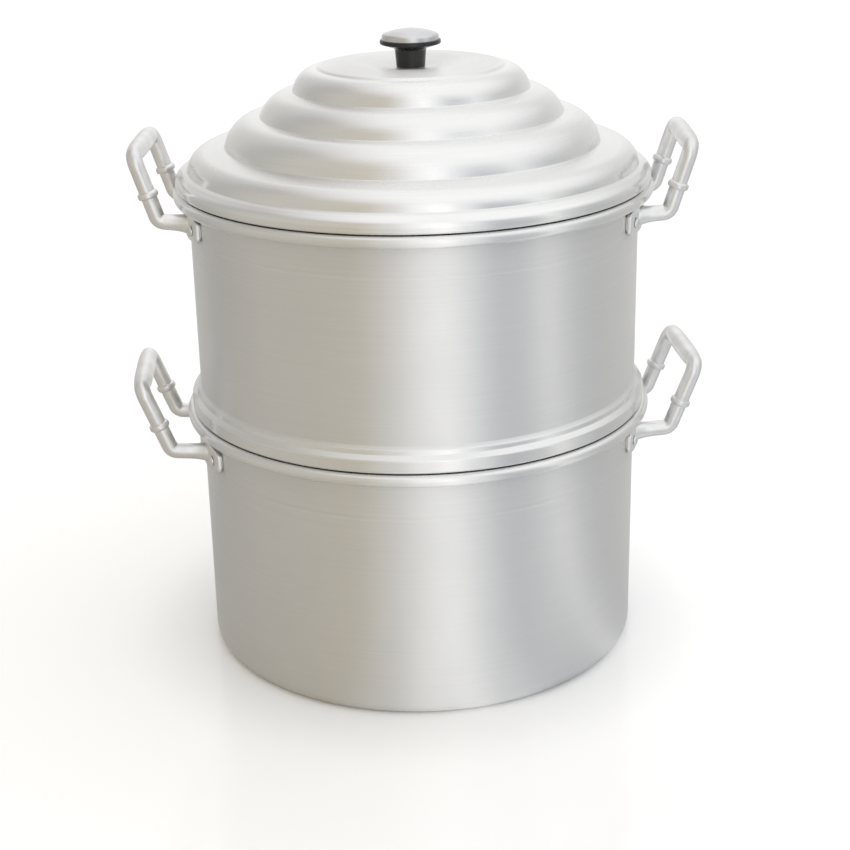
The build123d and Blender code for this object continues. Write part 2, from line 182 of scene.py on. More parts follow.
def make_spun_marks():
    """Node group: rings left by the spinning tool. The pattern depends on height plus radius,
    many times finer than on the way round, so its streaks run round the axis."""
    tree = bpy.data.node_groups.new("spun marks", "ShaderNodeTree")
    add, link = nodes_of(tree)
    for name in ("Fine", "Coarse", "Depth"):
        tree.interface.new_socket(name, in_out="INPUT", socket_type="NodeSocketFloat")
    for name in ("Marks", "Height", "Radius"):
        tree.interface.new_socket(name, in_out="OUTPUT", socket_type="NodeSocketFloat")
    given = add("NodeGroupInput")
    result = add("NodeGroupOutput")
    place = add("ShaderNodeTexCoord")
    parts = add("ShaderNodeSeparateXYZ")
    link(place.outputs["Object"], parts.inputs[0])
    flat = add("ShaderNodeCombineXYZ")
    link(parts.outputs["X"], flat.inputs["X"])
    link(parts.outputs["Y"], flat.inputs["Y"])
    radius = add("ShaderNodeVectorMath", operation="LENGTH")
    link(flat.outputs[0], radius.inputs[0])
    link(radius.outputs["Value"], result.inputs["Radius"])
    round_axis = add("ShaderNodeVectorMath", operation="NORMALIZE")
    link(flat.outputs[0], round_axis.inputs[0])
    profile = add("ShaderNodeMath", operation="ADD")
    link(parts.outputs["Z"], profile.inputs[0])
    link(radius.outputs["Value"], profile.inputs[1])
    textures = []
    for name, spread in (("Fine", fine_spread), ("Coarse", coarse_spread)):
        level = add("ShaderNodeMath", operation="MULTIPLY")
        link(profile.outputs[0], level.inputs[0])
        link(given.outputs[name], level.inputs[1])
        lifted = add("ShaderNodeCombineXYZ")
        link(level.outputs[0], lifted.inputs["Z"])
        around = add("ShaderNodeVectorMath", operation="MULTIPLY_ADD")
        around.inputs[1].default_value = (spread, spread, spread)
        link(round_axis.outputs[0], around.inputs[0])
        link(lifted.outputs[0], around.inputs[2])
        noise = add("ShaderNodeTexNoise", Scale=1.0, Detail=2.0)
        link(around.outputs[0], noise.inputs["Vector"])
        textures.append(noise.outputs["Fac"])
    both = add("ShaderNodeMath", operation="MULTIPLY_ADD")
    both.inputs[1].default_value = fine_share
    link(textures[0], both.inputs[0])
    rest = add("ShaderNodeMath", operation="MULTIPLY")
    rest.inputs[1].default_value = 1 - fine_share
    link(textures[1], rest.inputs[0])
    link(rest.outputs[0], both.inputs[2])
    link(both.outputs[0], result.inputs["Marks"])
    raised = add("ShaderNodeMath", operation="MULTIPLY")
    link(both.outputs[0], raised.inputs[0])
    link(given.outputs["Depth"], raised.inputs[1])
    link(raised.outputs[0], result.inputs["Height"])
    return tree


spun_marks = make_spun_marks()


def make_handling_marks():
    """Node group: soft cloudy patches left by wiping and handling, as a mask round 0.5."""
    tree = bpy.data.node_groups.new("handling marks", "ShaderNodeTree")
    add, link = nodes_of(tree)
    tree.interface.new_socket("Size", in_out="INPUT", socket_type="NodeSocketFloat")
    tree.interface.new_socket("Mask", in_out="OUTPUT", socket_type="NodeSocketFloat")
    given = add("NodeGroupInput")
    result = add("NodeGroupOutput")
    place = add("ShaderNodeTexCoord")
    clouds = add("ShaderNodeTexNoise", Detail=4.0, Roughness=0.6)
    link(place.outputs["Object"], clouds.inputs["Vector"])
    link(given.outputs["Size"], clouds.inputs["Scale"])
    link(clouds.outputs["Fac"], result.inputs["Mask"])
    return tree


handling_marks = make_handling_marks()


def spun_aluminium(
    name, colour, roughness, streak, fine, coarse, depth, anisotropy,
    worked_from, worked=1.0, plain_to=0.0, plain=1.0,
):
    """Bare spun aluminium: colour and roughness waver with the spinning rings and with
    handling, and the grain round the axis stretches reflections up and down the wall. Beyond
    the radius worked_from, where the edge was rolled, the roughness is the share worked of it,
    and inside plain_to, where no tool touched the sheet, it is the share plain."""
    material, add, link, surface = new_surface(
        name, Metallic=1.0, Anisotropic=anisotropy, Anisotropic_Rotation=0.25,
    )
    marks = add("ShaderNodeGroup", node_tree=spun_marks, Fine=fine, Coarse=coarse, Depth=depth)
    wiping = add("ShaderNodeGroup", node_tree=handling_marks, Size=wiping_size)
    tint = add("ShaderNodeMapRange", From_Min=mask_low, From_Max=mask_high, To_Min=1 - streak)
    link(marks.outputs["Marks"], tint.inputs["Value"])
    shade = add("ShaderNodeMix", data_type="RGBA", blend_type="MULTIPLY", Factor=1.0)
    shade.inputs[6].default_value = (*colour, 1.0)
    link(tint.outputs[0], shade.inputs[7])
    link(shade.outputs[2], surface.inputs["Base Color"])
    rough = add(
        "ShaderNodeMapRange", From_Min=mask_low, From_Max=mask_high,
        To_Min=roughness - wiping_waver, To_Max=roughness + wiping_waver,
    )
    link(wiping.outputs["Mask"], rough.inputs["Value"])
    finish = rough.outputs[0]
    for start, within, beyond in ((plain_to - worked_fade, plain, 1.0), (worked_from, 1.0, worked)):
        zone = add(
            "ShaderNodeMapRange", From_Min=start, From_Max=start + worked_fade,
            To_Min=within, To_Max=beyond,
        )
        link(marks.outputs["Radius"], zone.inputs["Value"])
        scaled = add("ShaderNodeMath", operation="MULTIPLY")
        link(finish, scaled.inputs[0])
        link(zone.outputs[0], scaled.inputs[1])
        finish = scaled.outputs[0]
    link(finish, surface.inputs["Roughness"])
    bump = add("ShaderNodeBump", Strength=0.25, Distance=0.0001)
    link(marks.outputs["Height"], bump.inputs["Height"])
    link(bump.outputs[0], surface.inputs["Normal"])
    grain = add("ShaderNodeTangent", direction_type="RADIAL", axis="Z")
    link(grain.outputs[0], surface.inputs["Tangent"])
    return material


wall_metal = spun_aluminium(
    "spun wall", colour=(0.88, 0.88, 0.875), roughness=0.44, streak=0.05, fine=3200.0,
    coarse=900.0, depth=0.5, anisotropy=0.85, worked_from=wall_middle + sheet, worked=0.55,
)


def rim_corners(top):
    """Mid-line of a rolled rim: over the top, down the outside, back in and up the inside."""
    outside = wall_middle + rim_overhang
    inside = outside - rim_curl
    crest = top - sheet / 2
    corners = [
        (wall_middle, crest), (outside, crest), (outside, crest - rim_curl),
        (inside, crest - rim_curl), (inside, crest - rim_return_share * rim_curl),
    ]
    return corners, [rim_flare] + 3 * [rim_bend_share * rim_curl]


def spin_line(level):
    """Shallow groove that the spinning tool left round a wall: two gentle steps in and out."""
    corners = [
        (wall_middle - inward * spin_line_depth, level + up * spin_line_width)
        for inward, up in spin_line_shares
    ]
    return corners, len(corners) * [spin_line_bend]


floor_middle = pot_low[2] + sheet / 2
groove, groove_bends = spin_line(pot_top - spin_line_drop)
rim, rim_bends = rim_corners(pot_top)
outline = sheet_outline(
    [(0.0, floor_middle), (wall_middle, floor_middle)] + groove + rim,
    [base_corner_bend] + groove_bends + rim_bends, sheet,
)
points, faces = spun_skin(outline)
pot = make_piece("pot_skin", points, faces, wall_metal, "water_pot")
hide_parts("water_pot")

# The loop handles
# One cast aluminium pattern, bent to two slopes: two tapered arms from low feet, two leaning
# uprights with a raised ring, and a grip that swells in the middle. Riveted on, not polished.
rod_radius = 0.0053
grip_radius = 0.0063
collar_radius = 0.0069
collar_half = 0.0022
collar_share = 0.455
arm_half_spacing = 0.0402
arm_rise = 0.0020
arm_root_radius = 0.0068
arm_root_fade = 0.0045
lower_bend = 0.0060
upper_bend = 0.0080
foot_thickness = 0.0034
foot_half_length = 0.0255
foot_middle_half = 0.0098
foot_end_half = 0.0079
foot_corner_power = 0.34
foot_rise_shares = (-0.4, -0.4, 0.16, 0.2, 0.3, 0.62, 0.86, 0.97, 1.0, 1.0, 1.0)
foot_insets = (0.0013, 0.0013, 0.0013, 0.0003, 0.0, 0.0, 0.00025, 0.0007, 0.0013, 0.004, 0.004)
rod_step = 0.0006
casting_patch_size = 90.0
casting_shade = 0.9
casting_waver = 0.06
wall_outside = wall_middle + sheet / 2
arm_azimuth = np.arcsin(arm_half_spacing / wall_outside)
handle_fits = {
    "water_pot": dict(foot=pot_top - 0.0229, reach=0.0207, upright=0.0482, lean=21.0, turn=4.1),
}


def rod_path(corners, bends, spacing):
    """Even points and directions along straight runs joined by arcs. On the arc from direction
    a towards b, with m square to a on b's side, the direction is a cos f + m sin f and the
    place is start + r (a sin f + m (1 - cos f))."""
    corners = np.array(corners, float)
    runs = np.diff(corners, axis=0)
    direction = runs / np.linalg.norm(runs, axis=1)[:, None]
    first, second = direction[:-1], direction[1:]
    cosine = np.sum(first * second, axis=1)
    angle = np.arccos(cosine)
    side = (second - first * cosine[:, None]) / np.sin(angle)[:, None]
    radius = np.array(bends)
    reach = radius * np.tan(angle / 2)
    arc_start = corners[1:-1] - first * reach[:, None]
    arc_end = corners[1:-1] + second * reach[:, None]
    run_start = np.vstack([corners[:1], arc_end])
    run_end = np.vstack([arc_start, corners[-1:]])
    run_length = np.linalg.norm(run_end - run_start, axis=1)
    lengths = np.zeros(2 * len(run_length) - 1)
    lengths[0::2] = run_length
    lengths[1::2] = radius * angle
    marks = np.concatenate([[0.0], np.cumsum(lengths)])
    travel = np.linspace(0.0, marks[-1], int(marks[-1] / spacing) + 1)
    part = np.clip(np.searchsorted(marks, travel, side="right") - 1, 0, len(lengths) - 1)
    local = travel - marks[part]
    index = part // 2
    bend = np.minimum(index, len(radius) - 1)
    f = (local / radius[bend])[:, None]
    on_arc = arc_start[bend] + radius[bend][:, None] * (
        first[bend] * np.sin(f) + side[bend] * (1 - np.cos(f))
    )
    on_run = run_start[index] + direction[index] * local[:, None]
    straight = (part % 2 == 0)[:, None]
    places = np.where(straight, on_run, on_arc)
    headings = np.where(straight, direction[index], first[bend] * np.cos(f) + side[bend] * np.sin(f))
    return places, headings, travel, marks


def rod_skin(places, headings, radii, level, around=40):
    """Tube round a path: each ring is place + radius (u cos a + v sin a), with u square to the
    heading and to the level direction, and v square to both. Closed by a point at each end."""
    u = np.cross(headings, level)
    u /= np.linalg.norm(u, axis=1)[:, None]
    v = np.cross(headings, u)
    angle = np.arange(around) * 2 * np.pi / around
    ring = u[:, None] * np.cos(angle)[:, None] + v[:, None] * np.sin(angle)[:, None]
    points = places[:, None] + ring * radii[:, None, None]
    points = np.concatenate([
        np.repeat(places[:1, None], around, axis=1), points,
        np.repeat(places[-1:, None], around, axis=1),
    ]).reshape(-1, 3)
    return points, wrapped_faces(len(places) + 2, around, False, True)


def foot_skin(level, azimuth, rows=96):
    """A foot bent round the wall: rings of a rounded lozenge (half length l, half height from
    the middle one down to the end one), laid at radius wall + height above it. The first and
    last ring shrink to a point, which closes it. Its edge is rounded by drawing the outer rings
    in, and the lowest too, which leaves the thin gap of a casting that does not quite fit."""
    angle = np.linspace(0, 2 * np.pi, rows, endpoint=False)
    across = np.sign(np.cos(angle)) * np.abs(np.cos(angle)) ** foot_corner_power
    up = np.sign(np.sin(angle)) * np.abs(np.sin(angle)) ** foot_corner_power
    half_height = foot_end_half + (foot_middle_half - foot_end_half) * (1 - np.abs(across))
    inset = np.array(foot_insets)[:, None]
    ring = np.ones(inset.shape)
    ring[[0, -1]] = 0.0
    length = ring * (foot_half_length - inset)
    height = ring * (half_height - inset)
    bent = azimuth + across * length / wall_outside
    distance = wall_outside + foot_thickness * np.array(foot_rise_shares)[:, None]
    points = np.stack([
        distance * np.cos(bent), distance * np.sin(bent), level + up * height,
    ], axis=2)
    return points.reshape(-1, 3), wrapped_faces(len(inset), rows, False, True)


def turned(points, degrees):
    """Points turned about the vertical axis."""
    angle = np.radians(degrees)
    spin = np.array([
        [np.cos(angle), -np.sin(angle), 0.0], [np.sin(angle), np.cos(angle), 0.0], [0.0, 0.0, 1.0],
    ])
    return points @ spin.T


def joined(*skins):
    """Several skins as one set of points and faces."""
    starts = np.cumsum([0] + [len(points) for points, faces in skins[:-1]])
    return (
        np.vstack([points for points, faces in skins]),
        np.vstack([faces + start for start, (points, faces) in zip(starts, skins)]),
    )


def handle_skin(foot, reach, upright, lean, turn):
    """Rod along arms, uprights and grip, with its thickness as a function of the way along it,
    and its two feet."""
    slope = np.radians(lean)
    lean_out = np.array([np.sin(slope), 0.0, np.cos(slope)])
    root = np.array([wall_outside * np.cos(arm_azimuth), arm_half_spacing, foot])
    lower = np.array([wall_outside + reach, arm_half_spacing, foot + arm_rise])
    upper = lower + lean_out * upright
    near_side = np.array([1.0, -1.0, 1.0])
    corners = [root, lower, upper, upper * near_side, lower * near_side, root * near_side]
    bends = [lower_bend, upper_bend, upper_bend, lower_bend]
    places, headings, travel, marks = rod_path(corners, bends, rod_step)
    end = np.minimum(travel, marks[-1] - travel)
    radii = rod_radius + (arm_root_radius - rod_radius) * np.exp(-(end / arm_root_fade) ** 2 / 2)
    collar = marks[2] + (upright * collar_share - (upright - (marks[3] - marks[2])) / 2)
    off_collar = np.clip(np.abs(end - collar) / collar_half, 0, 1)
    bulge = (collar_radius - rod_radius) * np.sqrt(1 - off_collar ** 4)
    radii = np.maximum(radii, rod_radius + bulge)
    grip_half = marks[-1] / 2 - marks[4]
    off_grip = np.clip(np.abs(travel - marks[-1] / 2) / grip_half, 0, 1)
    radii = np.maximum(radii, rod_radius + (grip_radius - rod_radius) * (1 - off_grip ** 4))
    level = np.cross(lean_out, [0.0, 1.0, 0.0])
    skins = [rod_skin(places, headings, radii, level)]
    skins += [foot_skin(foot, side * arm_azimuth) for side in (-1, 1)]
    points, faces = joined(*skins)
    return turned(points, turn), faces


def mottled(add, link, mask, darker, lighter, low=0.0, high=1.0):
    """Colour that goes from darker to lighter as a mask goes from low to high."""
    ramp = add("ShaderNodeValToRGB")
    for stop, place, colour in zip(ramp.color_ramp.elements, (low, high), (darker, lighter)):
        stop.position = place
        stop.color = (*colour, 1.0)
    link(mask, ramp.inputs["Fac"])
    return ramp.outputs[0]


def cast_aluminium(name, colour, roughness):
    """Tumbled cast aluminium: soft hammered unevenness, fine pitting, and patches worn
    smoother by the hand."""
    material, add, link, surface = new_surface(name, Metallic=1.0)
    wear = add("ShaderNodeGroup", node_tree=handling_marks, Size=casting_patch_size)
    darker = [casting_shade * value for value in colour]
    shade = mottled(add, link, wear.outputs["Mask"], darker, colour, mask_low, mask_high)
    link(shade, surface.inputs["Base Color"])
    rough = add(
        "ShaderNodeMapRange", From_Min=mask_low, From_Max=mask_high,
        To_Min=roughness + casting_waver, To_Max=roughness - casting_waver,
    )
    link(wear.outputs["Mask"], rough.inputs["Value"])
    link(rough.outputs[0], surface.inputs["Roughness"])
    place = add("ShaderNodeTexCoord")
    skin = add("ShaderNodeTexNoise", Scale=260.0, Detail=5.0, Roughness=0.6)
    link(place.outputs["Object"], skin.inputs["Vector"])
    bump = add("ShaderNodeBump", Strength=0.2, Distance=0.0003)
    link(skin.outputs["Fac"], bump.inputs["Height"])
    link(bump.outputs[0], surface.inputs["Normal"])
    return material


cast_metal = cast_aluminium("cast handle", colour=(0.90, 0.90, 0.90), roughness=0.33)


def fit_handles(body, fit):
    """The right and left handles of one vessel, half a turn apart."""
    points, faces = handle_skin(**fit)
    for side, azimuth in (("right", 0), ("left", 180)):
        name = f"{body}_handle_{side}"
        handle = make_piece(
            f"{name}_cast", turned(points, azimuth), faces, cast_metal, body,
        )
        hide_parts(name)


fit_handles("water_pot", handle_fits["water_pot"])

# The rivets
# Solid aluminium rivets, two in each foot, driven cold from inside: a domed head on the foot,
# a wider, flatter head inside the wall. Satin, and a little darker than the handles.
rivet_half_spacing = 0.0140
rivet_drop = 0.0015
rivet_head_radius = 0.0037
rivet_head_height = 0.0022
rivet_inner_radius = 0.0050
rivet_inner_height = 0.0016
rivet_shank_share = 0.6
rivet_sides = 24
dome_steps = 9
rivet_metal = cast_aluminium("rivet", colour=(0.86, 0.86, 0.86), roughness=0.26)


def rivet_skin(level, azimuth):
    """One rivet along the wall's outward direction: an outline (distance out, radius) of two
    domes (radius = head sqrt(1 - (h / height)^2)) joined by the shank, turned round that
    direction."""
    lift = np.sin(np.linspace(0, np.pi / 2, dome_steps))
    spread = np.sqrt(1 - lift ** 2)
    face = wall_outside + foot_thickness
    inside = wall_outside - sheet
    out = np.concatenate([
        inside - rivet_inner_height * lift[::-1], [inside + sheet / 2, face - sheet / 2],
        face + rivet_head_height * lift,
    ])
    radius = np.concatenate([
        rivet_inner_radius * spread[::-1], 2 * [rivet_shank_share * rivet_head_radius],
        rivet_head_radius * spread,
    ])
    angle = np.arange(rivet_sides) * 2 * np.pi / rivet_sides
    points = np.stack([
        np.repeat(out[:, None], rivet_sides, axis=1), radius[:, None] * np.cos(angle),
        level - rivet_drop + radius[:, None] * np.sin(angle),
    ], axis=2).reshape(-1, 3)
    faces = wrapped_faces(len(out), rivet_sides, False, True)
    return turned(points, np.degrees(azimuth)), faces


def fit_rivets(body, fit):
    """The rivets of one vessel's four feet, two to a foot."""
    offset = rivet_half_spacing / (wall_outside + foot_thickness)
    for side, azimuth, front in (("right", 0.0, -1), ("left", np.pi, 1)):
        for end, way in (("front", front), ("back", -front)):
            middle = azimuth + way * arm_azimuth
            points, faces = joined(*(
                rivet_skin(fit["foot"], middle + shift) for shift in (-offset, offset)
            ))
            name = f"{body}_rivets_{side}_{end}"
            rivets = make_piece(
                f"{name}_heads", turned(points, fit["turn"]), faces, rivet_metal, body,
            )
            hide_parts(name)


fit_rivets("water_pot", handle_fits["water_pot"])

# The steam tier
# Spun from one sheet like the pot. Its foot hangs in the pot's mouth as a shallow cup, folds out
# over the rolled rim as a band, and steps back in to the wall. The cup's floor is punched.
tier_low, tier_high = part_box("steam_tier")
seat_gap = 0.0003
mouth_clearance = 0.0024
cup_corner_bend = 0.006
cup_bend_share = 0.98
seat_bend = 0.0015
band_overhang = 0.0062
band_height = 0.0079
shoulder_height = 0.008
shoulder_shares = ((0.45, 0.36), (0.36, 0.66))
shoulder_bend = 0.0012
hole_radius = 0.0045
hole_pitch = 0.020
hole_points = 24
edge_points = 256
holes_per_ring_step = 6
tier_spin_line_drop = spin_line_drop - 0.0056
tier_floor = tier_low[2] + sheet / 2
tier_seat = pot_top + seat_gap + sheet / 2
cup_middle = wall_middle - sheet / 2 - mouth_clearance - sheet / 2
band_middle = wall_middle + band_overhang
floor_edge = cup_middle - cup_corner_bend
shoulder = tier_seat + band_height
shoulder_corners = [
    (wall_middle + inward * band_overhang, shoulder + up * shoulder_height)
    for inward, up in shoulder_shares
]
groove, groove_bends = spin_line(tier_high[2] - tier_spin_line_drop)
rim, rim_bends = rim_corners(tier_high[2])
outline = sheet_outline(
    [(floor_edge, tier_floor), (cup_middle, tier_floor), (cup_middle, tier_seat)]
    + [(band_middle, tier_seat), (band_middle, shoulder)] + shoulder_corners
    + [(wall_middle, shoulder + shoulder_height)] + groove + rim,
    [cup_bend_share * cup_corner_bend, seat_bend, seat_bend] + 4 * [shoulder_bend]
    + groove_bends + rim_bends, sheet,
)
points, faces = spun_skin(outline)
tier = make_piece("tier_skin", points, faces, wall_metal, "steam_tier")


def punched_floor():
    """Flat disc with rings of round holes: ring k has 6 k holes at k pitches from the middle.
    A filled curve with a hole curve in each place, given the sheet's thickness."""
    curve = bpy.data.curves.new("punched floor", "CURVE")
    curve.dimensions = "2D"
    curve.fill_mode = "BOTH"
    curve.extrude = sheet / 2
    rings = int((floor_edge - 2 * hole_radius) / hole_pitch)
    centres = [(0.0, 0.0)] + [
        (ring * hole_pitch * np.cos(step), ring * hole_pitch * np.sin(step))
        for ring in range(1, rings + 1)
        for step in np.arange(holes_per_ring_step * ring) * 2 * np.pi / (holes_per_ring_step * ring)
    ]
    circles = [((0.0, 0.0), floor_edge, edge_points)]
    circles += [(centre, hole_radius, hole_points) for centre in centres]
    for (x, y), radius, count in circles:
        angle = np.arange(count) * 2 * np.pi / count
        spline = curve.splines.new("POLY")
        spline.points.add(count - 1)
        spline.use_cyclic_u = True
        places = np.stack([
            x + radius * np.cos(angle), y + radius * np.sin(angle),
            np.zeros(count), np.ones(count),
        ], axis=1)
        spline.points.foreach_set("co", places.ravel())
    holder = bpy.data.objects.new("punched floor", curve)
    mesh = bpy.data.meshes.new_from_object(holder)
    points = np.empty(len(mesh.vertices) * 3)
    mesh.vertices.foreach_get("co", points)
    faces = [list(face.vertices) for face in mesh.polygons]
    bpy.data.objects.remove(holder)
    return points.reshape(-1, 3) + [0.0, 0.0, tier_floor], faces


points, faces = punched_floor()
floor_plate = make_piece(
    "tier_floor", points, faces, wall_metal, "steam_tier", crease=0,
)
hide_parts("steam_tier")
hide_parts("steam_tier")
handle_fits["steam_tier"] = dict(
    foot=tier_high[2] - 0.0191, reach=0.0163, upright=0.0456, lean=17.4, turn=-0.7,
)
fit_handles("steam_tier", handle_fits["steam_tier"])
fit_rivets("steam_tier", handle_fits["steam_tier"])

# The lid
# Spun from a softer disc into four rolls that climb to a flat top with a shallow dip for the
# knob. Its edge is folded out over the rim, and a short flange under it keeps it in the mouth.
lid_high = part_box("lid")[1]
flange_depth = 0.010
fold_height = 0.0064
fold_bend = 0.0025
fold_crest_bend = 0.005
brim_edge_in = 0.0050
brim_edge_fall = 0.0013
brim_bend = 0.008
brim_rise = 0.0045
valley_radii = (0.1503, 0.1248, 0.1007, 0.0783, 0.0624)
valley_heights = (0.0, 0.0136, 0.0326, 0.0487, 0.0637)
crown_height = 0.0652
foot_angles = (74.8, 73.7, 62.6, 71.1)
top_angles = (9.9, 8.4, 14.9, 8.0)
roll_bends = (0.0132, 0.0212, 0.0198, 0.0143)
valley_bend = 0.0012
top_step = 0.0026
top_crease_bend = 0.0035
top_bend = 0.004
top_edge_fall = 0.0012
dip_edge = 0.038
dip_edge_rise = 0.0006
dip_floor = 0.016
dip_depth = 0.003
dip_bend = 0.024
screw_hole = 0.00275
lid_turns = 240
lid_metal = spun_aluminium(
    "spun lid", colour=(0.92, 0.92, 0.915), roughness=0.27, streak=0.06, fine=3000.0,
    coarse=260.0, depth=0.5, anisotropy=0.5, worked_from=0.1485, worked=0.7,
    plain_to=0.0600, plain=1.5,
)


def roll_corner(foot, top, foot_angle, top_angle):
    """Where the steep line up from a roll's foot meets the gentle line out from its top."""
    steep, gentle = np.tan(np.radians(foot_angle)), np.tan(np.radians(top_angle))
    inward = (top[1] - foot[1] - gentle * (foot[0] - top[0])) / (steep - gentle)
    return foot[0] - inward, foot[1] + steep * inward


fold_outside = lid_high[0] - sheet / 2
fold_low = tier_high[2] + seat_gap + sheet / 2
fold_high = fold_low + fold_height
first_valley = fold_high + brim_rise
valleys = [(radius, first_valley + height) for radius, height in zip(valley_radii, valley_heights)]
crown = first_valley + crown_height
corners = [
    (cup_middle, fold_low - flange_depth), (cup_middle, fold_low), (fold_outside, fold_low),
    (fold_outside, fold_high), (fold_outside - brim_edge_in, first_valley - brim_edge_fall),
]
bends = [seat_bend, fold_bend, fold_crest_bend, brim_bend]
for foot, top, foot_angle, top_angle, bend in zip(
    valleys, valleys[1:], foot_angles, top_angles, roll_bends,
):
    corners += [foot, roll_corner(foot, top, foot_angle, top_angle)]
    bends += [valley_bend, bend]
corners += [
    (valleys[-1][0], valleys[-1][1] - top_edge_fall),
    (valleys[-1][0] - top_step, crown - top_edge_fall), (dip_edge, crown + dip_edge_rise),
    (dip_floor, crown - dip_depth), (screw_hole, crown - dip_depth),
]
bends += [top_crease_bend, top_bend, dip_bend, dip_bend]
points, faces = spun_skin(sheet_outline(corners, bends, sheet, steps=8), turns=lid_turns)
lid = make_piece("lid_skin", points, faces, lid_metal, "lid")
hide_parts("lid")

# The knob
# Black moulded phenolic with a waisted stem and a thin dished head, an aluminium cap pressed
# into its top, and a brass bush inside, held by a screw and washer from under the lid.
knob_low, knob_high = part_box("knob_body")
cap_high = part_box("knob_cap")[1]
knob_radius = knob_high[0]
knob_foot = 0.0095
knob_waist = 0.0104
edge_thickness = 0.0027
knob_dish = 0.0030
edge_bend = 0.0010
neck_bend = 0.0024
foot_bead = 0.0006
cap_gauge = 0.001
cap_recess = 0.0014
cap_rim_width = 0.0013
cap_edge_bend = 0.0020
cap_edge_height = 0.0030
cap_dome_corners = ((0.66, 0.58), (0.30, 0.92))
cap_dome_bend = 0.025
knob_turns = 96
moulding_patch_size = 160.0
tarnish_patch_size = 300.0
tarnish_shade = 0.8


def knob_plastic():
    """Glossy black moulding: deep black with faint dust-like wear that dulls it in patches."""
    material, add, link, surface = new_surface("moulded knob")
    wear = add("ShaderNodeGroup", node_tree=handling_marks, Size=moulding_patch_size)
    deep, dusty = (0.010, 0.010, 0.011), (0.026, 0.026, 0.028)
    link(mottled(add, link, wear.outputs["Mask"], deep, dusty), surface.inputs["Base Color"])
    rough = add(
        "ShaderNodeMapRange", From_Min=mask_low, From_Max=mask_high, To_Min=0.16, To_Max=0.30,
    )
    link(wear.outputs["Mask"], rough.inputs["Value"])
    link(rough.outputs[0], surface.inputs["Roughness"])
    return material


knob_base, knob_top = knob_low[2], knob_high[2]
under_edge = knob_top - edge_thickness
cap_side = knob_radius - cap_rim_width
points, normals = sheet_line(
    [(0.0, knob_base), (knob_foot, knob_base), (knob_waist, under_edge - knob_dish),
     (knob_radius, under_edge), (knob_radius, knob_top), (cap_side, knob_top),
     (cap_side, knob_top - cap_recess), (0.0, knob_top - cap_recess)],
    [foot_bead, neck_bend, edge_bend, edge_bend, foot_bead / 2, foot_bead / 2],
)
skin, faces = spun_skin(points, turns=knob_turns)
black = knob_plastic()
knob = make_piece("knob_moulding", skin, faces, black, "lid")
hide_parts("knob_body")
cap_metal = spun_aluminium(
    "pressed cap", colour=(0.74, 0.74, 0.75), roughness=0.28, streak=0.08, fine=4000.0,
    coarse=500.0, depth=0.4, anisotropy=0.3, worked_from=knob_radius,
)
cap_middle = cap_high[0] - cap_gauge / 2
cap_floor = knob_top - cap_recess
cap_edge = knob_top + cap_edge_height
cap_rise = cap_high[2] - cap_gauge / 2 - cap_edge
outline = sheet_outline(
    [(cap_middle, cap_floor + cap_gauge / 2), (cap_middle, cap_edge)]
    + [(out * cap_middle, cap_edge + up * cap_rise) for out, up in cap_dome_corners]
    + [(0.0, cap_high[2] - cap_gauge / 2)],
    [cap_edge_bend] + 2 * [cap_dome_bend], cap_gauge,
)
skin, faces = spun_skin(outline, turns=knob_turns)
cap = make_piece("knob_cap_pressing", skin, faces, cap_metal, "lid")
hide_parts("knob_cap")


def turned_metal(name, colour, roughness):
    """Small turned part: plain metal whose colour wavers slightly with tarnish."""
    material, add, link, surface = new_surface(name, Metallic=1.0, Roughness=roughness)
    tarnish = add("ShaderNodeGroup", node_tree=handling_marks, Size=tarnish_patch_size)
    darker = [tarnish_shade * value for value in colour]
    link(mottled(add, link, tarnish.outputs["Mask"], darker, colour), surface.inputs["Base Color"])
    return material


zinc = turned_metal("zinc plate", colour=(0.70, 0.71, 0.72), roughness=0.32)
brass = turned_metal("brass", colour=(0.78, 0.58, 0.28), roughness=0.3)
for node, metal in (("knob_screw", zinc), ("knob_washer", zinc), ("knob_insert", brass)):
    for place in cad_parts[node].material_slots:
        place.material = metal

# The studio
# A pale table that runs out to a white surround. What the metal sees of both changes on the way
# round: warm and dim on the left, bright right of the camera, cool and broken further right.
table_colour = 0.62
# Painted shadow: round the object's foot the table is shown greyer to the camera, fading out with
# the distance from the middle.
table_shown_in_painted_shadow = 1.18
table_shown_far = 1.36
painted_shadow_from = 0.150
painted_shadow_to = 0.225
table_gloss = 0.13
table_gloss_roughness = 0.16
table_seen = 1.13
overhead_colour = (1.04, 1.04, 1.04, 1.0)
overhead_axis = (0.35, 0.0, 1.0)
overhead_from = 0.6
overhead_full = 0.97
surroundings = (
    (-180, (1.00, 1.00, 0.99)), (-150, (0.64, 0.63, 0.61)), (-115, (0.49, 0.475, 0.45)),
    (-75, (0.58, 0.555, 0.505)), (-28, (0.61, 0.565, 0.485)), (-12, (0.76, 0.75, 0.72)),
    (3, (1.04, 1.04, 1.04)), (14, (1.21, 1.21, 1.21)), (25, (0.90, 0.915, 0.93)),
    (40, (0.56, 0.58, 0.61)), (54, (0.62, 0.64, 0.655)), (66, (0.92, 0.93, 0.935)),
    (78, (0.66, 0.675, 0.68)), (90, (0.55, 0.56, 0.57)), (118, (0.62, 0.62, 0.61)),
    (150, (0.74, 0.74, 0.73)), (180, (1.00, 1.00, 0.99)),
)


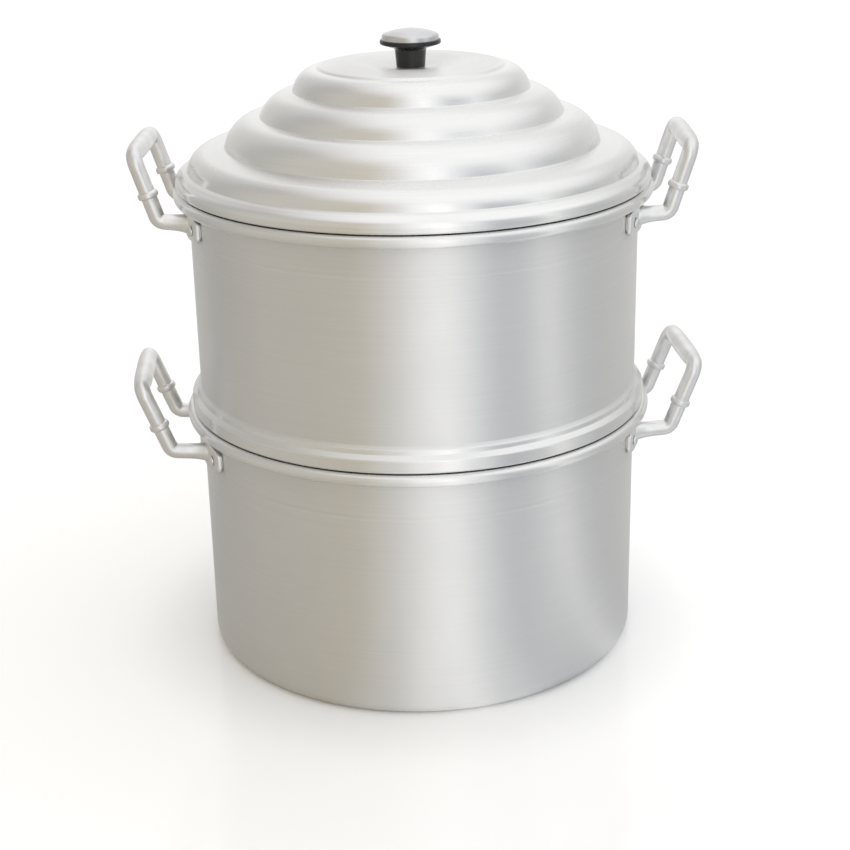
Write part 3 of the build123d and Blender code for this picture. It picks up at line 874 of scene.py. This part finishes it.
def make_surroundings():
    """Node group: what stands round the object, as a colour by the angle on the way round from
    the front towards the right, for a direction or for a place on the table."""
    tree = bpy.data.node_groups.new("surroundings", "ShaderNodeTree")
    add, link = nodes_of(tree)
    tree.interface.new_socket("Place", in_out="INPUT", socket_type="NodeSocketVector")
    tree.interface.new_socket("Colour", in_out="OUTPUT", socket_type="NodeSocketColor")
    given = add("NodeGroupInput")
    result = add("NodeGroupOutput")
    parts = add("ShaderNodeSeparateXYZ")
    link(given.outputs["Place"], parts.inputs[0])
    forward = add("ShaderNodeMath", operation="MULTIPLY")
    forward.inputs[1].default_value = -1.0
    link(parts.outputs["Y"], forward.inputs[0])
    angle = add("ShaderNodeMath", operation="ARCTAN2")
    link(parts.outputs["X"], angle.inputs[0])
    link(forward.outputs[0], angle.inputs[1])
    share = add("ShaderNodeMapRange", From_Min=-np.pi, From_Max=np.pi)
    link(angle.outputs[0], share.inputs["Value"])
    ramp = add("ShaderNodeValToRGB")
    ramp.color_ramp.interpolation = "EASE"
    stops = ramp.color_ramp.elements
    for degrees, colour in surroundings[1:-1]:
        stops.new((degrees + 180) / 360)
    for stop, (degrees, colour) in zip(stops, surroundings):
        stop.position = (degrees + 180) / 360
        stop.color = (*colour, 1.0)
    link(share.outputs[0], ramp.inputs["Fac"])
    link(ramp.outputs[0], result.inputs["Colour"])
    return tree


surround = make_surroundings()


def table_material():
    """Matt table: plain to the light, lifted to white for the camera, so that it keeps the
    object's shadow and a faint reflection, and as uneven as its surroundings to the metal. Round
    where the object stands it has a painted shadow: it is shown greyer to the camera, by the
    distance from the middle."""
    material = bpy.data.materials.new("table")
    material.use_nodes = True
    add, link = nodes_of(material.node_tree)
    matt = add("ShaderNodeBsdfDiffuse")
    polish = add("ShaderNodeBsdfAnisotropic", Roughness=table_gloss_roughness)
    surface = add("ShaderNodeMixShader", Fac=table_gloss)
    output = add("ShaderNodeOutputMaterial")
    path = add("ShaderNodeLightPath")
    place = add("ShaderNodeTexCoord")
    uneven = add("ShaderNodeGroup", node_tree=surround)
    link(place.outputs["Object"], uneven.inputs["Place"])
    lifted = add("ShaderNodeVectorMath", operation="SCALE", Scale=table_seen)
    link(uneven.outputs["Colour"], lifted.inputs[0])
    seen = add("ShaderNodeMix", data_type="RGBA")
    seen.inputs[6].default_value = (table_colour, table_colour, table_colour, 1.0)
    link(path.outputs["Is Glossy Ray"], seen.inputs["Factor"])
    link(lifted.outputs[0], seen.inputs[7])
    distance = add("ShaderNodeVectorMath", operation="LENGTH")
    link(place.outputs["Object"], distance.inputs[0])
    # Painted shadow round the object's foot: the camera's lift is lower near the middle.
    lift = add(
        "ShaderNodeMapRange", interpolation_type="SMOOTHSTEP", From_Min=painted_shadow_from,
        From_Max=painted_shadow_to, To_Min=table_shown_in_painted_shadow, To_Max=table_shown_far,
    )
    link(distance.outputs["Value"], lift.inputs["Value"])
    shown = add("ShaderNodeMix", data_type="RGBA")
    link(lift.outputs[0], shown.inputs[7])
    link(path.outputs["Is Camera Ray"], shown.inputs["Factor"])
    link(seen.outputs[2], shown.inputs[6])
    link(shown.outputs[2], matt.inputs["Color"])
    link(matt.outputs[0], surface.inputs[1])
    link(polish.outputs[0], surface.inputs[2])
    link(surface.outputs[0], output.inputs["Surface"])
    return material


half_table = 6.0
mesh = bpy.data.meshes.new("table")
mesh.from_pydata(
    [(-half_table, -half_table, 0), (half_table, -half_table, 0), (half_table, half_table, 0),
     (-half_table, half_table, 0)], [], [(0, 1, 2, 3)],
)
mesh.materials.append(table_material())
table = bpy.data.objects.new("table", mesh)
bpy.context.collection.objects.link(table)

world = bpy.data.worlds.new("studio")
bpy.context.scene.world = world
world.use_nodes = True
add, link = nodes_of(world.node_tree)
sky = add("ShaderNodeBackground", Strength=1.0)
white = add("ShaderNodeBackground", Strength=1.0)
mixed = add("ShaderNodeMixShader")
output = add("ShaderNodeOutputWorld")
path = add("ShaderNodeLightPath")
place = add("ShaderNodeTexCoord")
upward = add("ShaderNodeVectorMath", operation="DOT_PRODUCT")
upward.inputs[1].default_value = overhead_axis
link(place.outputs["Generated"], upward.inputs[0])
around = add("ShaderNodeGroup", node_tree=surround)
link(place.outputs["Generated"], around.inputs["Place"])
overhead = add("ShaderNodeMapRange", From_Min=overhead_from, From_Max=overhead_full)
link(upward.outputs["Value"], overhead.inputs["Value"])
blend = add("ShaderNodeMix", data_type="RGBA")
link(overhead.outputs[0], blend.inputs["Factor"])
link(around.outputs["Colour"], blend.inputs[6])
blend.inputs[7].default_value = overhead_colour
link(blend.outputs[2], sky.inputs["Color"])
link(path.outputs["Is Camera Ray"], mixed.inputs["Fac"])
link(sky.outputs[0], mixed.inputs[1])
link(white.outputs[0], mixed.inputs[2])
link(mixed.outputs[0], output.inputs["Surface"])

camera_data = bpy.data.cameras.new("view")
camera_data.lens = 72.0
camera_data.sensor_width = 36.0
camera_data.clip_start = 0.05
camera = bpy.data.objects.new("view", camera_data)
bpy.context.collection.objects.link(camera)
camera_distance = 1.1315
camera_height = 0.5789
tilt, sway, roll = 0.36386, 0.003955, -0.02055
forward = np.array([np.sin(sway) * np.cos(tilt), np.cos(sway) * np.cos(tilt), -np.sin(tilt)])
level_right = np.array([np.cos(sway), -np.sin(sway), 0.0])
level_up = np.cross(level_right, forward)
right = np.cos(roll) * level_right + np.sin(roll) * level_up
up = np.cos(roll) * level_up - np.sin(roll) * level_right
pose = np.eye(4)
pose[:3, 0], pose[:3, 1], pose[:3, 2] = right, up, -forward
pose[:3, 3] = (0.0, -camera_distance, camera_height)
camera.matrix_world = Matrix(pose.tolist())
bpy.context.scene.camera = camera
bpy.context.scene.view_settings.view_transform = "Standard"
